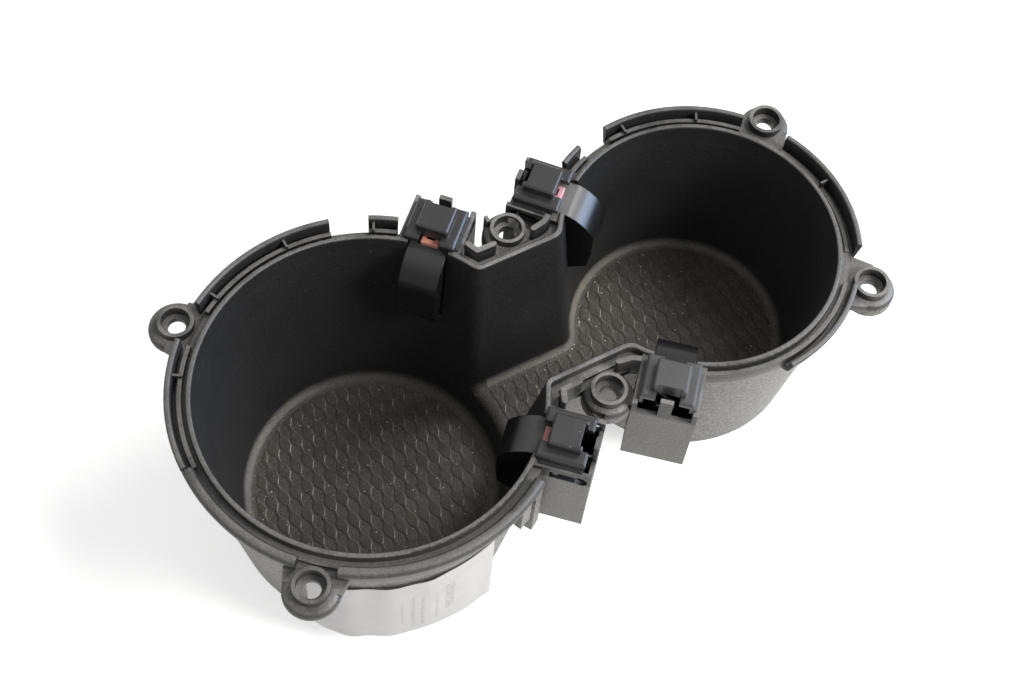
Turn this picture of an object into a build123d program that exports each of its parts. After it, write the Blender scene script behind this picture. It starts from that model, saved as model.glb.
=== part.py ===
from build123d import *
from collections import namedtuple
from math import atan2, cos, degrees, hypot, pi, sin, sqrt
import os

os.makedirs("parts", exist_ok=True)

# Layout. The origin lies midway between the two waist screws, level with the screw seats.
# Everything is drawn with z = 0 on top of the lip and lifted by lip_height when it is written out.
well_spacing = 92.5          # between the axes of the two wells
waist_screw_shift = 5.0      # waist screws, from the middle of that spacing towards the small well
lip_height = 4.0             # top of the lip above the screw seats

# Wells and waist, inside
big_mouth_r = 41.8
big_floor_r = 33.8
big_depth = 57.0
big_floor_fillet = 3.2
small_mouth_r = 34.8
small_floor_r = 29.3
small_depth = 46.6
small_floor_fillet = 2.8
waist_half = 17.0            # half-width of the waist at the lip
waist_floor_half = 9.3       # half-width of the waist at its floor
waist_corner_r = 4.0         # plan corner between the waist and the small well
step_round = 3.0             # rounded edges where the waist breaks into the big well
foot_round = 1.2             # outer bottom edges
wall = 3.6                   # moulded wall round the wells

# Rim, from the mouth of a well outwards
lip_width = 1.3
lip_round = 0.45
groove_width = 1.0
groove_depth = 2.4
ledge_width = 1.1
ledge_drop = 0.8             # top of the ledge below the lip
channel_width = 1.2
channel_depth = 3.5
rim_wall = 1.7
rim_rise = 1.5               # top of the outer wall above the lip
rim_round = 0.65
rim_lean = 1.1               # how far the outer face leans in towards its foot
rim_foot = 4.6               # foot of the outer face below the lip
rim_root = 8.0               # where the underside runs into the well's wall, below the lip
rib_width = 0.6              # cross-ribs in the channel
rib_rise = 0.3               # top of the cross-ribs above the lip
front_in = 3.1               # inner side of the solid outer wall at the front of the big well
front_rise = 0.4             # its top above the lip
front_round = 1.4
low_rise = -0.3              # top of the outer wall where it stays low
deep_drop = 2.0              # top of the ledge where it stays low
big_open_runs = [(55, 64), (76, 125), (137.8, 180)]               # angles with ledge, channel and outer wall
small_open_runs = [(42, 97), (110, 119.4)]
small_low_runs = [(-88, -45)]                                     # the same with a low outer wall
small_deep_runs = [(-30, 24)]                                     # the same with a low ledge
big_solid_runs = [(180, 223), (235, 302)]                         # angles with the solid outer wall
small_plain_runs = [(-119.4, -88)]                                # angles with the ledge alone
big_ribs = [62.4, 91, 119.5, 149]
small_ribs = [1.1, 60, 90]

# Screw bosses
collar_r = 4.5
collar_drop = 1.2            # top of a collar below the lip
bore_r = 3.55                # counterbore down to the seat
screw_hole_r = 2.25
cup_r = 6.4                  # outer cup round a boss
cup_drop = 3.4               # top of the cup below the lip
cup_height = 4.2
big_cup_r = 6.9              # the same on the big well's ears
big_cup_height = 2.2
cup_wall = 1.6
cup_round = 1.6
seat_thick = 2.2             # floor of the counterbore
ear_flare = 1.6              # extra half-width of an ear's web where it meets the rim
waist_screw_reach = 25.5     # waist screws from the long axis
big_ear_x = -33.2            # ears on the big well, from its axis
big_ear_y = 37.9
small_ear_rear_x = 36.25     # ears on the small well, from its axis
small_ear_rear_y = 25.0
small_ear_front_x = 32.95
small_ear_front_y = -29.4

# Waist decks, each between two pockets
deck_reach = 22.4            # outer edge of a deck from the long axis
deck_left = -16.0
deck_right = 11.0
deck_rib = 1.4               # thickness of the walls standing on a deck
deck_rib_rise = 1.3          # their top above the lip
deck_ribs = [                # their plan on the rear deck
    [(-6.2, 21.6), (-10.8, 21.7), (-12.0, 24.5)],
    [(4.8, 21.2), (8.2, 21.8), (10.0, 23.0)],
]
fin_width = 0.9              # thin fin beside the rear waist boss
fin_shift_x = -3.5           # from the boss to the middle of the fin
fin_shift_y = 4.5
fin_length = 1.8
fin_rise = 2.6

# Gripper pockets. Radial sizes count outwards from the mouth of the well.
big_grip_angle = 43.5        # about the big well's axis, either side of the long axis
small_grip_angle = 131.5     # about the small well's axis
pocket_half = 8.0
pocket_wall = 1.25
pocket_reach = 14.35         # outer end face
pocket_bottom = 27.0         # below the lip
pocket_front = 2.6           # inner side of the pocket
pocket_side_drop = 0.8       # top of the side walls below the lip
end_drop = 4.5               # top of the end wall below the lip
tongue_half = 1.6            # tongue standing on the end wall
tongue_rise = 2.4            # top of the tongue above the lip
window_half = 5.3
window_bottom = 25.4
slot_level = 3.6             # guide slot's centre below the lip
slot_half = 1.35
slot_eye_r = 1.75

# Gripper finger
finger_half = 5.0
finger_skin = 1.5
finger_cheek = 1.3
finger_drop = 1.2            # flat top below the lip
finger_back = 6.7
finger_crease = 1.0          # crease of the top, this far into the well
finger_nose = 8.8            # furthest point into the well
finger_brow_in = 5.9         # point that the brow's curve runs through
finger_brow_drop = 4.0
finger_nose_drop = 8.0
finger_waist_in = 8.85
finger_waist_drop = 12.0
finger_chin_in = 8.2
finger_chin_drop = 21.0
finger_heel_in = 3.0
finger_foot_drop = 24.8
finger_tail = 2.0            # back edge of the cheeks at their foot
finger_tail_drop = 9.0       # where the cheeks start to narrow
stub_r = 0.8
stub_seat = 5.8              # guide stubs at rest
stub_out = 2.6               # stubs beyond the cheeks
travel = 6.0                 # stroke of the gripper

# Gripper cap
cap_half = 6.65
cap_front = 0.25
cap_back = 12.3
cap_under = 0.6              # underside above the lip
cap_shoulder = 2.0           # top of the shoulders above the lip
cap_bevel = 0.5
cap_block_half = 4.15
cap_block_front = 2.4
cap_block_back = 10.7
cap_block_top = 4.6
cap_block_bevel = 0.4
cap_roof = 1.2
cap_mouth_half = 2.7         # notch in the front edge
cap_notch_half = 2.9         # notch in the back edge, round the tongue
cap_notch_deep = 2.4
cap_foot = 0.7               # flange along each side, resting on the pocket's side wall
cap_foot_rise = 0.5
skirt_wall = 1.0
skirt_drop = 2.2             # bottom of the skirts below the lip
skirt_inset = 0.3
small_cap_shift = 1.0        # caps on the small well sit this much further out

# Slide pad
pad_half = 2.35
pad_length = 3.7
pad_bar = 1.2
pad_rise = 1.3
pad_front = 0.9              # front edge from the mouth of the well
pad_bevel = 0.3

# Gripper spring
spring_r = 2.8               # to the middle of the wire
spring_wire = 0.8
spring_turns = 5
spring_level = 11.0          # below the lip
spring_fit = 0.25            # left free at each end
peg_r = 1.9
peg_length = 3.0

# Fork clip under the rim of the big well
fork_long_angle = -58.6
fork_long_half = 1.6
fork_long_depth = 25.0
fork_short_angle = -65.2
fork_short_half = 1.8
fork_short_depth = 14.0
fork_radial = 2.0
fork_inset = 0.1             # behind the rim's outer face at its foot

# Paper label on the front of the big well
label_from = -137.0
label_to = -73.0
label_top = 19.3             # below the lip, where the sheet meets the wall
label_foot = 52.6            # the sheet hangs straight, clear of the tapering wall
label_thick = 0.25
label_fit = 0.06

Well = namedtuple("Well", "x mouth_r floor_r depth floor_fillet")
big = Well(-well_spacing / 2 - waist_screw_shift, big_mouth_r, big_floor_r, big_depth, big_floor_fillet)
small = Well(well_spacing / 2 - waist_screw_shift, small_mouth_r, small_floor_r, small_depth,
             small_floor_fillet)
Boss = namedtuple("Boss", "x y cup_r cup_height")
Grip = namedtuple("Grip", "name well angle")
grips = [
    Grip("big_rear", big, big_grip_angle),
    Grip("big_front", big, -big_grip_angle),
    Grip("small_rear", small, small_grip_angle),
    Grip("small_front", small, -small_grip_angle),
]
over = 3.0                   # how far a cutting shape runs past what it cuts
bite = 0.5                   # how far an added shape runs into what it joins
small_gap = 0.01             # used to pick edges and corners
seat_z = -lip_height
deck_z = -cup_drop
groove_out = lip_width + groove_width
ledge_out = groove_out + ledge_width
rim_in = ledge_out + channel_width
rim_out = rim_in + rim_wall
pocket_in = pocket_reach - pocket_wall
pocket_in_half = pocket_half - pocket_wall
slot_end = stub_seat + travel
finger_top = -finger_drop


def block(x0, x1, y0, y1, z0, z1):
    return Pos((x0 + x1) / 2, (y0 + y1) / 2, (z0 + z1) / 2) * Box(x1 - x0, y1 - y0, z1 - z0)


def rod(x, y, radius, z0, z1):
    return Pos(x, y, (z0 + z1) / 2) * Cylinder(radius, z1 - z0)


def taper(well):
    return (well.mouth_r - well.floor_r) / well.depth


def turned(shape, well, angle):
    return Pos(well.x, 0, 0) * Rot(0, 0, angle) * shape


def well_form(well, grow, top, corner_r):
    """Tapered round form of a well, grown outwards, with its rounded floor; top is a height over the lip."""
    foot = -well.depth - grow
    foot_r = well.floor_r + grow - taper(well) * grow
    top_r = well.mouth_r + grow + taper(well) * top
    profile = make_face(Polyline((0, foot), (foot_r, foot), (top_r, top), (0, top), close=True))
    corner = profile.vertices().filter_by(lambda v: abs(v.X - foot_r) + abs(v.Y - foot) < small_gap)
    profile = fillet(corner, corner_r)
    return turned(revolve(Plane.XZ * profile, Axis.Z), well, 180)


def keyhole(half, radius, corner):
    """Plan of the small well with the waist, which runs on to the big well's axis."""
    cx = small.x
    fx = cx - sqrt((radius + corner) ** 2 - (half + corner) ** 2)
    share = radius / (radius + corner)
    touch = (cx + (fx - cx) * share, (half + corner) * share)
    aim = atan2(-(half + corner), cx - fx)
    middle = (aim - pi / 2) / 2
    bend = (fx + corner * cos(middle), half + corner + corner * sin(middle))
    edges = [
        Line((big.x, -half), (fx, -half)),
        ThreePointArc((fx, -half), (bend[0], -bend[1]), (touch[0], -touch[1])),
        ThreePointArc((touch[0], -touch[1]), (cx + radius, 0), touch),
        ThreePointArc(touch, bend, (fx, half)),
        Line((fx, half), (big.x, half)),
        Line((big.x, half), (big.x, -half)),
    ]
    return Face(Wire([e.edge() for e in edges]))


def keyhole_form(grow, top, corner_r):
    slope = (waist_half - waist_floor_half) / small.depth
    foot = -small.depth - grow
    high = keyhole(waist_half + grow + slope * top, small.mouth_r + grow + taper(small) * top,
                   waist_corner_r)
    low = keyhole(waist_floor_half + grow - slope * grow, small.floor_r + grow - taper(small) * grow,
                  waist_corner_r)
    form = loft([Pos(0, 0, foot) * low, Pos(0, 0, top) * high], ruled=True)
    chain = form.edges().filter_by(lambda e: abs(e.center().Z - foot) < small_gap
                                   and abs(e.center().X - big.x) > small_gap)
    return fillet(chain, corner_r)


def on_big_cone(e):
    """Whether an edge is one where the waist's inside breaks into the big well."""
    c = e.position_at(0.5)
    off = hypot(c.X - big.x, c.Y) - big.mouth_r - taper(big) * c.Z
    return c.X > big.x and -small.depth - small_gap < c.Z < -over and abs(off) < small_gap


# Rim: profiles drawn with x counting from the well's axis
def underside(well):
    return [
        (well.mouth_r + wall / 2 - taper(well) * rim_root, -rim_root),
        (well.mouth_r + rim_out - rim_lean - rim_wall / 2, -rim_foot - rim_wall / 2),
        (well.mouth_r + rim_out - rim_lean, -rim_foot),
    ]


def rounded(points, height, radius):
    """Face through the points, with its corners at that height rounded."""
    face = make_face(Polyline(*points, close=True))
    return fillet(face.vertices().filter_by(lambda v: abs(v.Y - height) < small_gap), radius)


def open_rim(well, rise=rim_rise, drop=ledge_drop):
    r = well.mouth_r
    return rounded(underside(well) + [
        (r + rim_out, rise),
        (r + rim_in, rise),
        (r + rim_in, -channel_depth),
        (r + ledge_out, -channel_depth),
        (r + ledge_out, -drop),
        (r + groove_out, -drop),
        (r + groove_out, -groove_depth),
        (r + wall / 4, -groove_depth),
    ], rise, rim_round)


def solid_rim(well):
    r = well.mouth_r
    return rounded(underside(well) + [
        (r + rim_out, front_rise),
        (r + front_in, front_rise),
        (r + front_in, -groove_depth),
        (r + wall / 4, -groove_depth),
    ], front_rise, front_round)


def plain_rim(well):
    r = well.mouth_r
    low = -groove_depth - bite
    return make_face(Polyline((r + groove_out, low), (r + ledge_out, low), (r + ledge_out, -ledge_drop),
                              (r + groove_out, -ledge_drop), close=True))


def rim_arc(well, profile, start, stop):
    return turned(revolve(Plane.XZ * profile, Axis.Z, revolution_arc=stop - start), well, start)


def cross_rib(well, angle):
    start = well.mouth_r + groove_out
    stop = well.mouth_r + rim_in + rim_wall / 2
    rib = block(start, stop, -rib_width / 2, rib_width / 2, -channel_depth - bite, rib_rise)
    return turned(rib, well, angle)


def lip():
    grow = lip_width
    low = -groove_depth - bite
    ring = extrude(Pos(big.x, 0, low) * Circle(big.mouth_r + grow), -low)
    plan = keyhole(waist_half + grow, small.mouth_r + grow, waist_corner_r)
    solid = ring + extrude(Pos(0, 0, low) * plan, -low)
    corners = solid.edges().filter_by(Axis.Z).filter_by(
        lambda e: abs(hypot(e.center().X - big.x, e.center().Y) - big.mouth_r - grow) < small_gap)
    return fillet(corners, step_round - grow)


# Screw bosses: a cup hanging from the deck, with a collar round the counterbore
def boss_solid(boss):
    cup = rod(boss.x, boss.y, boss.cup_r, deck_z - boss.cup_height, deck_z)
    cup = fillet(cup.edges().group_by(Axis.Z)[-1], cup_round)
    return cup + rod(boss.x, boss.y, collar_r, deck_z - seat_thick, -collar_drop)


def boss_cut(boss):
    under = seat_z - seat_thick
    low = under - over
    hollow = rod(boss.x, boss.y, boss.cup_r - cup_wall, low, under)
    return hollow + rod(boss.x, boss.y, bore_r, seat_z, over) + rod(boss.x, boss.y, screw_hole_r, low, over)


def ear_web(well, boss):
    """Web from the rim out to an ear, drawn along the ear's own radius."""
    x = boss.x - well.x
    reach = hypot(x, boss.y)
    inner = well.mouth_r + lip_width / 2
    wide = boss.cup_r + ear_flare
    plan = make_face(Polyline((inner, -wide), (reach, -boss.cup_r), (reach, boss.cup_r), (inner, wide),
                              close=True))
    web = extrude(Pos(0, 0, deck_z - seat_thick) * plan, seat_thick)
    return turned(web, well, degrees(atan2(boss.y, x)))


big_ears = [Boss(big.x + big_ear_x, side * big_ear_y, big_cup_r, big_cup_height) for side in (-1, 1)]
small_ears = [
    Boss(small.x + small_ear_rear_x, small_ear_rear_y, cup_r, cup_height),
    Boss(small.x + small_ear_front_x, small_ear_front_y, cup_r, cup_height),
]
waist_bosses = [Boss(0, side * waist_screw_reach, cup_r, cup_height) for side in (-1, 1)]
bosses = big_ears + small_ears + waist_bosses


# Waist decks
def standing_wall(points, width, z0, z1):
    """Wall of even thickness along a path in plan, with round ends and corners."""
    solid = rod(*points[0], width / 2, z0, z1)
    for (x0, y0), (x1, y1) in zip(points, points[1:]):
        run = block(0, hypot(x1 - x0, y1 - y0), -width / 2, width / 2, z0, z1)
        solid += Pos(x0, y0, 0) * Rot(0, 0, degrees(atan2(y1 - y0, x1 - x0))) * run
        solid += rod(x1, y1, width / 2, z0, z1)
    return solid


def deck(side):
    low = deck_z - seat_thick
    plate = block(deck_left, deck_right, waist_half, deck_reach, low, deck_z)
    for points in deck_ribs:
        plate += standing_wall(points, deck_rib, low, deck_rib_rise)
    return plate if side > 0 else mirror(plate, Plane.XZ)


def fin():
    x = fin_shift_x
    y = waist_screw_reach + fin_shift_y
    return block(x - fin_width / 2, x + fin_width / 2, y - fin_length / 2, y + fin_length / 2,
                 deck_z - seat_thick, deck_z + fin_rise)


# Gripper pockets, drawn with x counting outwards from the mouth
def placed(grip, shape):
    return turned(Pos(grip.well.mouth_r, 0, 0) * shape, grip.well, grip.angle)


def pocket_solid():
    box = block(-pocket_front, pocket_reach, -pocket_half, pocket_half, -pocket_bottom, -pocket_side_drop)
    tongue = block(pocket_in, pocket_reach, -tongue_half, tongue_half, -end_drop - bite, tongue_rise)
    return box + tongue


def pocket_cut():
    floor = -pocket_bottom + pocket_wall
    hollow = block(pocket_front, pocket_in, -pocket_in_half, pocket_in_half, floor, over)
    window = block(-finger_nose - over, pocket_front + bite, -window_half, window_half, -window_bottom, over)
    seat = block(lip_width, pocket_in, -pocket_half, pocket_half, -pocket_side_drop, over)
    cut = hollow + window + seat
    for side in (-1, 1):
        lo, hi = sorted((side * tongue_half, side * pocket_in_half))
        cut += block(pocket_in - bite, pocket_reach + over, lo, hi, -end_drop, over)
    reach = 2 * pocket_half + 2 * over
    slot = block(stub_seat - slot_half, slot_end, -reach / 2, reach / 2, -slot_level - slot_half,
                 -slot_level + slot_half)
    eye = Pos(slot_end, 0, -slot_level) * Rot(90, 0, 0) * Cylinder(slot_eye_r, reach)
    return cut + slot + eye


def peg(start, stop):
    length = stop - start
    return Pos(start + length / 2, 0, -spring_level) * Rot(0, 90, 0) * Cylinder(peg_r, length)


def fork():
    """Two prongs under the rim, a long one beside the front pocket and a short one."""
    r = big.mouth_r + rim_out - rim_lean - fork_inset
    top = -rim_foot + bite
    prongs = []
    for angle, half, depth in ((fork_long_angle, fork_long_half, fork_long_depth),
                               (fork_short_angle, fork_short_half, fork_short_depth)):
        prongs.append(turned(block(r - fork_radial, r, -half, half, -depth, top), big, angle))
    return prongs


def on_lip(e):
    c = e.position_at(0.5)
    return abs(c.Z) < small_gap and abs(e.position_at(0).Z) < small_gap


body = well_form(big, wall, -groove_depth, foot_round)
body += keyhole_form(wall, -groove_depth, foot_round)
for run in big_open_runs:
    body += rim_arc(big, open_rim(big), *run)
for run in small_open_runs:
    body += rim_arc(small, open_rim(small), *run)
for run in small_low_runs:
    body += rim_arc(small, open_rim(small, rise=low_rise), *run)
for run in small_deep_runs:
    body += rim_arc(small, open_rim(small, drop=deep_drop), *run)
for run in big_solid_runs:
    body += rim_arc(big, solid_rim(big), *run)
for run in small_plain_runs:
    body += rim_arc(small, plain_rim(small), *run)
for angle in big_ribs:
    body += cross_rib(big, angle)
for angle in small_ribs:
    body += cross_rib(small, angle)
for boss in big_ears:
    body += ear_web(big, boss)
for boss in small_ears:
    body += ear_web(small, boss)
for side in (-1, 1):
    body += deck(side)
for boss in bosses:
    body += boss_solid(boss)
body += fin()
for prong in fork():
    body += prong
for grip in grips:
    body += placed(grip, pocket_solid())

cavity = well_form(big, 0, over, big.floor_fillet) + keyhole_form(0, over, small.floor_fillet)
cavity = fillet(cavity.edges().filter_by(on_big_cone), step_round)
body -= cavity
mouth = lip() - cavity
body += fillet(mouth.edges().filter_by(on_lip), lip_round)
for boss in bosses:
    body -= boss_cut(boss)
for grip in grips:
    body -= placed(grip, pocket_cut())
for grip in grips:
    body += placed(grip, peg(pocket_in - peg_length, pocket_in))


# Gripper finger
def finger_outline():
    top_back = (finger_back, finger_top)
    crease = (-finger_crease, finger_top)
    nose = (-finger_nose, -finger_nose_drop)
    chin = (-finger_chin_in, -finger_chin_drop)
    heel = (-finger_heel_in, -finger_foot_drop)
    tail = (finger_tail, -finger_foot_drop)
    tail_top = (finger_back, -finger_tail_drop)
    edges = [
        Line(top_back, crease),
        ThreePointArc(crease, (-finger_brow_in, -finger_brow_drop), nose),
        ThreePointArc(nose, (-finger_waist_in, -finger_waist_drop), chin),
        Line(chin, heel),
        Line(heel, tail),
        Line(tail, tail_top),
        Line(tail_top, top_back),
    ]
    return Face(Wire([e.edge() for e in edges]))


def slab(face, half):
    return extrude(Plane.XZ * face, half, both=True)


def finger():
    outline = finger_outline()
    solid = slab(outline, finger_half)
    inner = offset(outline, amount=-finger_skin, kind=Kind.INTERSECTION)
    hollow = slab(inner, finger_half - finger_cheek)
    back = block(finger_tail - 2 * finger_skin, finger_back + over, -finger_half + finger_cheek,
                 finger_half - finger_cheek, -finger_foot_drop + finger_skin, finger_top - finger_skin)
    solid -= hollow + back
    solid += peg(-finger_waist_in + finger_skin / 2, -finger_waist_in + finger_skin + peg_length)
    for side in (-1, 1):
        start, stop = sorted((side * (finger_half - bite), side * (finger_half + stub_out)))
        stub = Cylinder(stub_r, stop - start)
        solid += Pos(stub_seat, (start + stop) / 2, -slot_level) * Rot(90, 0, 0) * stub
    return solid


# Gripper cap
def cap():
    plate = block(cap_front, cap_back, -cap_half, cap_half, cap_under, cap_shoulder)
    plate = chamfer(plate.edges().group_by(Axis.Z)[-1], cap_bevel)
    top = block(cap_block_front, cap_block_back, -cap_block_half, cap_block_half, cap_under, cap_block_top)
    top = chamfer(top.edges().group_by(Axis.Z)[-1] + top.edges().filter_by(Axis.Z), cap_block_bevel)
    solid = plate + top
    start = max(cap_front, lip_width) + skirt_inset
    stop = cap_back - skirt_inset
    for side in (-1, 1):
        lo, hi = sorted((side * cap_half, side * (cap_half - skirt_wall)))
        solid += block(start, stop, lo, hi, -pocket_side_drop, cap_under + bite)
        solid += block(max(start, pocket_front + skirt_inset), stop, lo, hi, -skirt_drop, cap_under + bite)
        lo, hi = sorted((side * (cap_half + cap_foot), side * (cap_half - skirt_wall)))
        solid += block(start, stop, lo, hi, -pocket_side_drop, -pocket_side_drop + cap_foot_rise)
    inner = cap_block_half - cap_roof
    solid -= block(cap_block_front + cap_roof, cap_block_back - cap_roof, -inner, inner, -over,
                   cap_block_top - cap_roof)
    solid -= block(-over, cap_block_front, -cap_mouth_half, cap_mouth_half, -over, cap_shoulder + over)
    solid -= block(cap_back - cap_notch_deep, cap_back + over, -cap_notch_half, cap_notch_half, -over,
                   cap_block_top + over)
    return solid


# Slide pad: a U lying on the finger, its bar towards the well
def slide_pad():
    back = pad_front + pad_length
    solid = block(pad_front, back, -pad_half, pad_half, finger_top, finger_top + pad_rise)
    solid = chamfer(solid.edges().group_by(Axis.Z)[-1] + solid.edges().filter_by(Axis.Z), pad_bevel)
    return solid - block(pad_front + pad_bar, back + over, -pad_half + pad_bar, pad_half - pad_bar,
                         finger_top - over, finger_top + pad_rise + over)


# Gripper spring, from the finger's skin to the end wall
def spring():
    start = -finger_waist_in + finger_skin + spring_fit
    length = pocket_in - spring_fit - start
    rise = length - spring_wire
    path = Helix(pitch=rise / spring_turns, height=rise, radius=spring_r)
    section = Plane(path @ 0, z_dir=path % 0) * Rectangle(spring_wire, spring_wire)
    coil = sweep(section, path=path, is_frenet=True)
    return Pos(start + spring_wire / 2, 0, -spring_level) * Rot(0, 90, 0) * coil


# Paper label: a sheet bent round the big well, held along its top edge
def label():
    r = big.mouth_r + wall + label_fit - taper(big) * label_top
    strip = make_face(Polyline((r, -label_top), (r, -label_foot), (r + label_thick, -label_foot),
                               (r + label_thick, -label_top), close=True))
    return turned(revolve(Plane.XZ * strip, Axis.Z, revolution_arc=label_to - label_from), big, label_from)


made = {"holder_body": body, "label": label()}
for grip in grips:
    shift = Pos(small_cap_shift if grip.well is small else 0, 0, 0)
    made[grip.name + "_cap"] = placed(grip, shift * cap())
    made[grip.name + "_finger"] = placed(grip, finger())
    made[grip.name + "_spring"] = placed(grip, spring())
    made[grip.name + "_slide_pad"] = placed(grip, shift * slide_pad())

for name, shape in made.items():
    lifted = Pos(0, 0, lip_height) * shape
    solids = lifted.solids()
    assert len(solids) == 1, (name, len(solids))
    export_step(solids[0], f"parts/{name}.step")
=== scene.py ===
from math import cos, hypot, pi, radians, sin, sqrt

import bmesh
import bpy
from mathutils import Matrix, Vector


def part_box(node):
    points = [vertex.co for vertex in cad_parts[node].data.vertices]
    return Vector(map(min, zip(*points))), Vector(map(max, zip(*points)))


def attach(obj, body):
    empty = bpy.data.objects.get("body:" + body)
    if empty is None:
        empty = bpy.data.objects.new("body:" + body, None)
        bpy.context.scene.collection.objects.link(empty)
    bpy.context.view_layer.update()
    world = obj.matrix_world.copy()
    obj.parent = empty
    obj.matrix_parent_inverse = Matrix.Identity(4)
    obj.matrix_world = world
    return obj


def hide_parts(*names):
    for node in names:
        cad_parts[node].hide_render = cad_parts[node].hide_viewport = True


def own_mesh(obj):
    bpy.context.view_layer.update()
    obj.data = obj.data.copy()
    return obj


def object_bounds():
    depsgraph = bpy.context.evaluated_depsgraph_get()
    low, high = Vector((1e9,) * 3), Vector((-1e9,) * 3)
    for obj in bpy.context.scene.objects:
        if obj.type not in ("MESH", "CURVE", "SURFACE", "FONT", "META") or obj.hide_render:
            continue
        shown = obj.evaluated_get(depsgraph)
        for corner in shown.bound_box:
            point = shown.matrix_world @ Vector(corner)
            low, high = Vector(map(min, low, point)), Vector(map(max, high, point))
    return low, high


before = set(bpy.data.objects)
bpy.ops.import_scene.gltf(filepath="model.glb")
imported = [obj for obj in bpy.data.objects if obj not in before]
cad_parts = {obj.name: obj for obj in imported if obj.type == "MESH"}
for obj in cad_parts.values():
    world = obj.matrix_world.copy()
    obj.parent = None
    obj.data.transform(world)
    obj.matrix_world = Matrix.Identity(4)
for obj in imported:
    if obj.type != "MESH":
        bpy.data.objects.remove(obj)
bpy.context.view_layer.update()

# Places and sizes of the moulding, in metres in the part's frame
LIP_Z = 0.004
BIG_X = -0.05125
BIG_MOUTH_R = 0.0418
BIG_FLOOR_R = 0.0338
BIG_DEPTH = 0.057
SMALL_X = 0.04125
SMALL_MOUTH_R = 0.0348
SMALL_FLOOR_R = 0.0293
SMALL_DEPTH = 0.0466
WAIST_HALF = 0.017
WAIST_FLOOR_HALF = 0.0093
BIG_FLOOR_Z = LIP_Z - BIG_DEPTH
SMALL_FLOOR_Z = LIP_Z - SMALL_DEPTH
STEP_X = -0.0128             # the waist's flat floor ends here, by the big well

# Gripper pockets: radial sizes count outwards from the mouth of the well
BIG_GRIP_ANGLE = 43.5
SMALL_GRIP_ANGLE = 131.5
POCKET_FROM = 0.0027
POCKET_TO = 0.0132
POCKET_HALF = 0.00685
SLOT_LOW = -0.0014
SLOT_HIGH = 0.0022
SLOT_HALF = 0.00795
BOX_FROM = 0.0038
BOX_HALF = 0.0095
GRIPS = {                    # well's axis, its mouth's radius, angle about it
    "big_rear": (BIG_X, BIG_MOUTH_R, BIG_GRIP_ANGLE),
    "big_front": (BIG_X, BIG_MOUTH_R, -BIG_GRIP_ANGLE),
    "small_rear": (SMALL_X, SMALL_MOUTH_R, SMALL_GRIP_ANGLE),
    "small_front": (SMALL_X, SMALL_MOUTH_R, -SMALL_GRIP_ANGLE),
}

# Gripper springs, along each slide
SPRING_FROM = -0.0071
SPRING_TO = 0.01285
SPRING_Z = LIP_Z - 0.011
SPRING_R = 0.0028
SPRING_WIRE_R = 0.0004
SPRING_CLOSE = 2.2 * SPRING_WIRE_R    # pitch of the end turns
SPRING_TURNS = 7
SPRING_STEPS = 24            # rings to a turn
SPRING_SIDES = 8             # corners to a ring

# Scales moulded on the floors: raised strips along Y that swell and narrow like rows of hexagons
SCALE_PITCH = 0.0034
SCALE_PERIOD = 0.007
SCALE_SWAY = 0.0005          # how far each edge sways to each side
SCALE_EDGE = 0.00026         # width of the slope at each side of a strip
SCALE_RISE = 0.00016
SCALE_CROWN = 0.00004        # extra height in the middle of a strip
SCALE_STEPS = 16             # rows to a period
BIG_SCALES_ORIGIN = (-0.04624, 0.00088)
SMALL_SCALES_ORIGIN = (0.04184, 0.00175)
BIG_SCALES_R = 0.0308        # flat part of each floor
SMALL_SCALES_R = 0.0266
WAIST_SCALES_HALF = 0.0068
REACH_TRIES = 100            # places tried for the longest strip
SAME_PLACE = 1e-6            # corners this close are one
SAME_LEVEL = 1e-7            # faces this close to the floor are left out

# Paper label: degrees about the big well's axis, and metres
LABEL_THICK = 0.00016
LABEL_CREASES = [            # angle, how far out at the top and the foot, how far the foot is torn up
    (-137.0, 0.0001, 0.0003, 0.006),
    (-131.0, 0.0003, 0.0001, 0.002),
    (-124.0, 0.0008, 0.0003, 0.0),
    (-117.5, 0.0004, 0.0001, 0.0007),
    (-110.0, 0.0009, 0.0003, 0.0),
    (-103.0, 0.0006, 0.0001, 0.0004),
    (-97.5, 0.0009, 0.0003, 0.0012),
    (-90.0, 0.0004, 0.0001, 0.0006),
    (-84.0, 0.0003, 0.0003, 0.0008),
    (-78.0, 0.0002, 0.0001, 0.0002),
    (-73.0, 0.0002, 0.0004, 0.0),
]
LABEL_ROWS = 6
LABEL_COLUMNS = 5            # columns from one crease to the next
LABEL_CURL = 3               # power of the curl: the higher, the nearer to the top it begins
LABEL_BARS = [               # angle, half the width in degrees, lowest, highest, strength
    (-106.5, 0.5, -0.042, -0.028, 0.3),
    (-102.8, 0.6, -0.045, -0.024, 0.35),
    (-99.6, 0.6, -0.045, -0.026, 0.35),
    (-94.6, 0.5, -0.043, -0.026, 0.35),
    (-90.0, 1.6, -0.04, -0.024, 0.4),
]

# Camera of the photograph
CAMERA_PLACE = (-0.12857, -0.16956, 0.36112)
CAMERA_AIM = (-0.01366, -0.00206, 0.0)
CAMERA_ROLL = 6.67
CAMERA_LENS = 59.71
SENSOR_WIDTH = 36.0

# Light
LAMP_AIM = (0.0, 0.0, 0.0)
WARM = (1.0, 0.98, 0.95)
BLUE = (0.5, 0.69, 1.0)
KEY_PLACE = (0.492, -0.587, 0.643)
KEY_SIZE = 0.4
KEY_POWER = 8.0
FILL_PLACE = (0.606, 0.107, 0.788)
FILL_SIZE = 0.4
FILL_POWER = 4.0
WINDOW_PLACE = (0.88, -0.28, 0.37)
WINDOW_SIZE = 0.5
WINDOW_POWER = 12.0
WHITE = (1.0, 1.0, 1.0)
SKY = 0.38                   # strength of the sky as light; as a background it is white

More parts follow.
